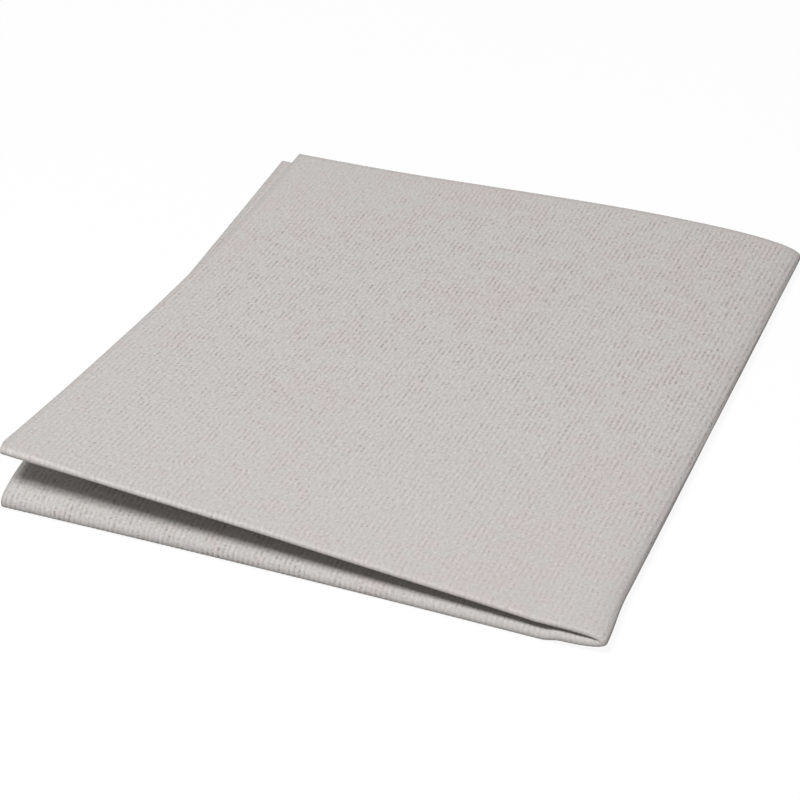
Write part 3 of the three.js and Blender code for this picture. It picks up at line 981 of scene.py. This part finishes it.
def handled_cloth_and_shade_group():
    """Masks of the brushed ribs, the cut edges, the painted shade and the warm patches."""
    name = "Handled Cloth"
    if name in bpy.data.node_groups:
        return bpy.data.node_groups[name]
    group, desk, given = new_group(
        name,
        [
            ("Place", "NodeSocketVector", None),
            ("Sheet Width", "NodeSocketFloat", SHEET_WIDTH),
            ("Sheet Length", "NodeSocketFloat", SHEET_LENGTH),
            ("Brushed Length", "NodeSocketFloat", BRUSHED_LENGTH),
            ("Brushed Share", "NodeSocketFloat", BRUSHED_SHARE),
        ],
        ["Rib Strength", "Edge", "Fold", "Middle", "Border"],
    )
    side_start, side_end, side_share = 1 * MM, 18 * MM, 0.6  # share of the ribs left at a border
    back_start, back_end, back_share = 1 * MM, 4 * MM, 0.25
    corner_end, corner_share, side_weight = 60 * MM, 0.15, 0.5  # of the ribs near the cut corners
    cut_side_share = 0.62  # of the ribs left at the front fold, beside the cut sides
    edge_width, fold_width, loose_width = 2 * MM, 25 * MM, 120 * MM
    border_depth, border_width = 110 * MM, 60 * MM  # from the back edge, and from the side fold
    front_depth, front_share = 60 * MM, 0.2  # of the side fold's border left at the front fold
    tight_share = 0.2  # of the painted shade over the roll, where it is pressed tight
    split = desk.node("ShaderNodeSeparateXYZ", {"Vector": given["Place"]}).outputs
    across = desk.math("FRACT", split["X"])  # the back side's places are a whole metre further on
    half_length = desk.math("MULTIPLY", given["Sheet Length"], desk.HALF)
    from_fold = desk.math("ABSOLUTE", desk.math("SUBTRACT", split["Y"], half_length))
    from_back = desk.math("SUBTRACT", half_length, from_fold)
    half_width = desk.math("MULTIPLY", given["Sheet Width"], desk.HALF)
    past_middle = desk.math("SUBTRACT", across, half_width)
    from_middle = desk.math("ABSOLUTE", past_middle)
    from_side = desk.math("SUBTRACT", half_width, from_middle)
    from_handled = desk.math("ADD", from_fold, desk.math("MAXIMUM", past_middle, 0.0))
    middle = desk.math("DIVIDE", from_side, half_width)
    fold_share = desk.remap(middle, 0.0, 1.0, cut_side_share, given["Brushed Share"])
    brushed = desk.remap(from_handled, 0.0, given["Brushed Length"], fold_share, 1.0)
    side = desk.remap(across, side_start, side_end, side_share, 1.0)
    back = desk.remap(from_back, back_start, back_end, back_share, 1.0)
    from_corner = desk.math("MULTIPLY_ADD", from_side, side_weight, from_back)
    corner = desk.remap(from_corner, 0.0, corner_end, corner_share, 1.0)
    at_borders = desk.math("MULTIPLY", side, desk.math("MINIMUM", back, corner))
    strength = desk.math("MULTIPLY", brushed, at_borders)
    from_edge = desk.math("MINIMUM", from_back, from_side)
    edge = desk.remap(from_edge, 0.0, edge_width, 1.0, 0.0, smooth=True)
    loose = desk.remap(past_middle, 0.0, loose_width, tight_share, 1.0)
    on_lower = desk.remap(past_middle, 0.0, fold_width, 0.0, 1.0, smooth=True)
    # painted shade: the Fold mask darkens the lower leaf's front roll, most towards its loose left
    # end
    fold = desk.remap(from_fold, 0.0, fold_width, 1.0, 0.0, smooth=True)
    fold = desk.math("MULTIPLY", fold, desk.math("MULTIPLY", loose, on_lower))
    near_back = desk.remap(from_back, 0.0, border_depth, 1.0, 0.0)
    near_side_fold = desk.remap(from_middle, 0.0, border_width, 1.0, 0.0)
    behind_front = desk.remap(from_fold, 0.0, front_depth, front_share, 1.0)
    border = desk.math("MAXIMUM", near_back, desk.math("MULTIPLY", near_side_fold, behind_front))
    made = {"Rib Strength": strength, "Edge": edge, "Fold": fold, "Middle": middle}
    desk.node("NodeGroupOutput", {**made, "Border": border})
    desk.lay_out()
    return group


def rgba(colour_value):
    """A colour with full alpha."""
    return (*colour_value, 1.0)


def felt_shade(desk, felt, finish, crispness):
    """Factor by which the fibres and the patches lighten or darken a colour."""
    quiet, loud = 0.3, 0.7  # noise levels that take the full contrast
    speck_full, speck_start = 0.3, 0.46  # noise levels of the dark specks between fibres
    patch = finish.patch_contrast
    fibre = desk.math("MULTIPLY", finish.fibre_contrast, crispness)
    swing = desk.remap(felt["Fibres"], quiet, loud, -1.0, 1.0)
    speck = desk.remap(felt["Fibres"], speck_full, speck_start, finish.speck_contrast, 0.0)
    swing = desk.math("SUBTRACT", swing, speck)
    fibre_shade = desk.math("MULTIPLY_ADD", swing, fibre, 1.0)
    patch_shade = desk.remap(felt["Patches"], quiet, loud, 1 - patch, 1 + patch)
    return desk.math("MULTIPLY", fibre_shade, patch_shade)


def matte_cloth(desk, base, relief, finish):
    """The matte shader that both materials end in."""
    bump = desk.node("ShaderNodeBump", {"Height": relief, "Distance": finish.relief_depth})
    inputs = {
        "Base Color": base,
        "Normal": bump.outputs[0],
        "Roughness": finish.roughness,
        "Specular IOR Level": finish.shine,
        "Sheen Weight": finish.sheen,
        "Sheen Roughness": finish.sheen_roughness,
    }
    shader = desk.node("ShaderNodeBsdfPrincipled", inputs)
    desk.node("ShaderNodeOutputMaterial", {"Surface": shader.outputs[0]})
    desk.lay_out()


def new_material(name):
    """A material with an empty node tree, and the desk to fill it at."""
    material = bpy.data.materials.new(name)
    material.use_nodes = True
    return material, NodeDesk(material.node_tree)


def placed_felt(desk, place, finish, warm_rise=0.0):
    """The felt's masks at the scale of the finish."""
    inputs = {
        "Place": place,
        "Fibre Size": finish.fibre_size,
        "Patch Size": finish.patch_size,
        "Warm Rise": warm_rise,
    }
    return desk.node("ShaderNodeGroup", inputs, node_tree=fibre_felt_group()).outputs


def ribbed_material(sheet, sizes, finish):
    """Face of the cloth: pale felt, stitched along its ribs."""
    name = "ribbed_chamois"
    if name in bpy.data.materials:
        return bpy.data.materials[name]
    cut_side_share, middle_share = 0.6, 0.3  # of the fibres' contrast where the ribs are brushed flat
    material, desk = new_material(name)
    place = desk.node("ShaderNodeUVMap", uv_map=PLACE_MAP).outputs[0]
    width, length_along = sheet.places.max(axis=(0, 1))
    inputs = {
        "Place": place,
        "Sheet Width": width,
        "Sheet Length": length_along,
        "Brushed Length": sizes.brushed_length,
        "Brushed Share": sizes.brushed_share,
    }
    handled_and_shade = desk.node("ShaderNodeGroup", inputs, node_tree=handled_cloth_and_shade_group()).outputs
    inputs = {
        "Place": place,
        "Strength": handled_and_shade["Rib Strength"],
        "Rib Pitch": sizes.rib_pitch,
        "Stitch Length": finish.stitch_length,
        "Patch Size": finish.patch_size,
    }
    ribs = desk.node("ShaderNodeGroup", inputs, node_tree=stitched_ribs_group()).outputs
    warm_rise = desk.math("MULTIPLY", handled_and_shade["Border"], finish.warm_rise)
    felt = placed_felt(desk, place, finish, warm_rise)
    # the grooves' grey is partly painted shade in them
    layers = (
        (felt["Warmth"], finish.warm_share, finish.warm_colour),
        (felt["Strands"], finish.strand_share, finish.strand_colour),
        (ribs["Groove"], finish.groove_share, finish.groove_tone_and_shade),
        (ribs["Stitch"], finish.stitch_share, finish.stitch_colour),
    )
    base = rgba(finish.cloth_colour)
    for mask, share, layer_colour in layers:
        base = desk.mix(desk.math("MULTIPLY", mask, share), base, rgba(layer_colour))
    # painted shade over the front roll, towards the side fold and where the ribs are faint, plus
    # darker cut edges
    edge_and_painted_shade = desk.total(
        desk.weighted(
            (handled_and_shade["Edge"], finish.edge_shade),
            (handled_and_shade["Fold"], finish.roll_painted_shade),
            (handled_and_shade["Middle"], finish.side_fold_painted_shade),
        ),
        desk.remap(handled_and_shade["Rib Strength"], 0.0, 1.0, finish.brushed_painted_shade, 0.0),
    )
    worn_share = desk.remap(handled_and_shade["Middle"], 0.0, 1.0, cut_side_share, middle_share)
    crispness = desk.remap(handled_and_shade["Rib Strength"], 0.0, 1.0, worn_share, 1.0)
    shade = felt_shade(desk, felt, finish, crispness)
    base = desk.brighten(base, desk.math("MULTIPLY", shade, desk.math("SUBTRACT", 1.0, edge_and_painted_shade)))
    relief = desk.weighted(
        (felt["Fibres"], finish.fibre_relief),
        (ribs["Groove"], -finish.groove_relief),
        (ribs["Stitch"], -finish.stitch_relief),
    )
    matte_cloth(desk, base, relief, finish)
    return material


def cut_edge_material(finish):
    """Cut edge of the cloth: loose fibres with no ribs."""
    name = "cut_edge_fibres"
    if name in bpy.data.materials:
        return bpy.data.materials[name]
    looseness = 2  # how many times higher the fibres stand here than on the face
    material, desk = new_material(name)
    felt = placed_felt(desk, desk.node("ShaderNodeUVMap", uv_map=PLACE_MAP).outputs[0], finish)
    base = desk.brighten(tuple(finish.edge_colour), felt_shade(desk, felt, finish, 1.0))
    relief = desk.math("MULTIPLY", felt["Fibres"], looseness * finish.fibre_relief)
    matte_cloth(desk, base, relief, finish)
    return material


def background_rays(desk):
    """1 for the rays that show the background: to the camera, off gloss and through glass."""
    path = desk.node("ShaderNodeLightPath").outputs
    seen = desk.math("MAXIMUM", path["Is Camera Ray"], path["Is Glossy Ray"])
    return desk.math("MAXIMUM", seen, path["Is Transmission Ray"])


def floor_material(settings):
    """Pale floor that shows as nearly white, with a trace of the cloth's shadow."""
    material, desk = new_material("pale_floor")
    seen = background_rays(desk)
    shown = desk.mix(seen, rgba(settings.floor_colour), WHITE)
    diffuse = desk.node("ShaderNodeBsdfDiffuse", {"Color": shown})
    glow = desk.node("ShaderNodeEmission", {"Color": WHITE, "Strength": 1.0})
    share = desk.math("MULTIPLY", seen, settings.floor_glow)
    inputs = {
        desk.SHADER_SHARE: share,
        desk.SHADER_FIRST: diffuse.outputs[0],
        desk.SHADER_SECOND: glow.outputs[0],
    }
    mixed = desk.node("ShaderNodeMixShader", inputs)
    desk.node("ShaderNodeOutputMaterial", {"Surface": mixed.outputs[0]})
    desk.lay_out()
    return material


# Pieces


LAID_SHEETS = {}  # by the values of the settings that they were laid with


def plain(settings):
    """The values of a group of settings, which outlast the file that it is in."""
    names = type(settings).__annotations__
    return SimpleNamespace(**{name: getattr(settings, name) for name in names})


def whole_sheet(scene):
    """The sheet that all the pieces are cut from, and the columns of its two seams."""
    groups = (scene.chamois_sizes, scene.chamois_shape, scene.chamois_detail)
    groups = [plain(settings) for settings in groups]
    key = tuple(value for settings in groups for value in vars(settings).values())
    if key not in LAID_SHEETS:
        LAID_SHEETS[key] = SheetMesh(RibbedSheet(*groups))
    mesh = LAID_SHEETS[key]
    _, wrap_begin, wrap_end, _ = mesh.sheet.regions
    seams = scene.chamois_seams
    upper_seam = mesh.sheet.groove_column(wrap_begin - seams.upper_seam_inset)
    lower_seam = mesh.sheet.groove_column(wrap_end + seams.lower_seam_inset)
    return mesh, upper_seam, lower_seam


def cut_piece(scene, mesh, name, first_column, last_column):
    """A piece of the sheet between two columns, with its two materials."""
    sizes, finish = scene.chamois_sizes, scene.chamois_finish
    materials = [ribbed_material(mesh.sheet, sizes, finish), cut_edge_material(finish)]
    piece = mesh.piece(name, first_column, last_column, materials)
    return piece


class AddLowerLeaf(bpy.types.Operator):
    """Adds the lower leaf of the cloth, which lies on the table"""

    bl_idname = "chamois.lower_leaf"
    bl_label = "Add Lower Leaf"

    def execute(self, context):
        scene = context.scene
        mesh, _, lower_seam = whole_sheet(scene)
        last = mesh.sheet.columns
        piece = cut_piece(scene, mesh, "lower_leaf_cloth", lower_seam, last)
        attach(piece, "lower_leaf")
        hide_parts("bottom_panel", "lower_inner_panel", "lower_front_fold")
        return {"FINISHED"}


class AddUpperLeaf(bpy.types.Operator):
    """Adds the upper leaf of the cloth, which opens about the side fold"""

    bl_idname = "chamois.upper_leaf"
    bl_label = "Add Upper Leaf"

    def execute(self, context):
        scene = context.scene
        mesh, upper_seam, _ = whole_sheet(scene)
        piece = cut_piece(scene, mesh, "upper_leaf_cloth", 0, upper_seam)
        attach(piece, "upper_leaf")
        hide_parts("top_panel", "upper_inner_panel", "upper_front_fold")
        return {"FINISHED"}


class AddSideFold(bpy.types.Operator):
    """Adds the side fold's nested wraps and crossed corner"""

    bl_idname = "chamois.side_fold"
    bl_label = "Add Side Fold"

    def execute(self, context):
        scene = context.scene
        mesh, upper_seam, lower_seam = whole_sheet(scene)
        piece = cut_piece(scene, mesh, "side_fold_cloth", upper_seam, lower_seam)
        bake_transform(piece)
        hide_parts("outer_side_fold", "inner_side_fold", "crossed_corner")
        return {"FINISHED"}


# Stage


def add_floor(scene, settings):
    """Square floor just below the cloth."""
    half = settings.floor_size / 2
    corners = [(-half, -half), (half, -half), (half, half), (-half, half)]
    mesh = bpy.data.meshes.new("table_floor")
    mesh.from_pydata([(x, y, -settings.floor_drop) for x, y in corners], [], [(0, 1, 2, 3)])
    mesh.materials.append(floor_material(settings))
    floor = bpy.data.objects.new("table_floor", mesh)
    scene.collection.objects.link(floor)


def add_light(scene, settings):
    """One wide lamp from above and in front, and even light from all sides.

    A surface that faces the lamp shows its own colour times the lamp's strength. The background
    is white to the camera, in gloss and through glass, and doesn't light the cloth.
    """
    matrix_size = 4
    lamp = bpy.data.lights.new("main_lamp", "AREA")
    lamp.shape = "RECTANGLE"
    lamp.size = settings.lamp_width
    lamp.size_y = settings.lamp_depth
    lamp.energy = settings.lamp_strength * (math.pi * settings.lamp_distance) ** 2
    main_lamp = bpy.data.objects.new("main_lamp", lamp)
    lean = Matrix.Rotation(-settings.lamp_lean, matrix_size, "Y")
    tilt = Matrix.Rotation(settings.lamp_tilt, matrix_size, "X")
    main_lamp.matrix_world = lean @ tilt @ Matrix.Translation((0, 0, settings.lamp_distance))
    scene.collection.objects.link(main_lamp)
    world = bpy.data.worlds.new("studio_light")
    world.use_nodes = True
    desk = NodeDesk(world.node_tree)
    strength = desk.remap(background_rays(desk), 0.0, 1.0, settings.sky_strength, 1.0)
    background = desk.node("ShaderNodeBackground", {"Color": WHITE, "Strength": strength})
    desk.node("ShaderNodeOutputWorld", {"Surface": background.outputs[0]})
    desk.lay_out()
    scene.world = world


def add_camera(scene, settings):
    """Camera at the photograph's viewing angle."""
    azimuth, elevation = settings.camera_azimuth, settings.camera_elevation
    back = Vector(
        (
            math.sin(azimuth) * math.cos(elevation),
            -math.cos(azimuth) * math.cos(elevation),
            math.sin(elevation),
        )
    )
    lens = bpy.data.cameras.new("camera")
    lens.lens = settings.focal_length
    camera = bpy.data.objects.new("camera", lens)
    camera.location = Vector(settings.camera_target) + back * settings.camera_distance
    camera.rotation_mode = "QUATERNION"
    camera.rotation_quaternion = (-back).to_track_quat("-Z", "Y")
    scene.collection.objects.link(camera)
    scene.camera = camera


class AddStage(bpy.types.Operator):
    """Adds the floor, the light and the camera"""

    bl_idname = "chamois.stage"
    bl_label = "Add Stage"

    def execute(self, context):
        scene = context.scene
        settings = scene.chamois_stage
        scene.view_settings.view_transform = "Standard"
        add_floor(scene, settings)
        add_light(scene, settings)
        add_camera(scene, settings)
        return {"FINISHED"}


# Sidebar


class ChamoisPanel(bpy.types.Panel):
    """Lists the settings and the pieces of the cloth"""

    bl_idname = "CHAMOIS_PT_cloth"
    bl_label = "Folded Chamois Cloth"
    bl_space_type = "VIEW_3D"
    bl_region_type = "UI"
    bl_category = "Chamois"

    def draw(self, context):
        for operator in OPERATORS:
            self.layout.operator(operator.bl_idname)
        for attribute, group in SETTINGS.items():
            box = self.layout.box()
            box.label(text=group.__doc__.split(".")[0])
            settings = getattr(context.scene, attribute)
            for name in group.__annotations__:
                box.prop(settings, name)


OPERATORS = (AddStage, AddLowerLeaf, AddUpperLeaf, AddSideFold)


def register():
    """Registers the classes and gives the scene their settings."""
    for group in (*SETTINGS.values(), *OPERATORS, ChamoisPanel):
        bpy.utils.register_class(group)
    for attribute, group in SETTINGS.items():
        setattr(bpy.types.Scene, attribute, PointerProperty(type=group))


def unregister():
    """Takes the settings and the classes away again."""
    for attribute in SETTINGS:
        delattr(bpy.types.Scene, attribute)
    for group in (ChamoisPanel, *reversed(OPERATORS), *reversed(SETTINGS.values())):
        bpy.utils.unregister_class(group)


def main():
    """Builds the stage and the cloth."""
    register()
    bpy.ops.chamois.stage()
    bpy.ops.chamois.lower_leaf()
    bpy.ops.chamois.upper_leaf()
    bpy.ops.chamois.side_fold()


if __name__ == "__main__":
    main()
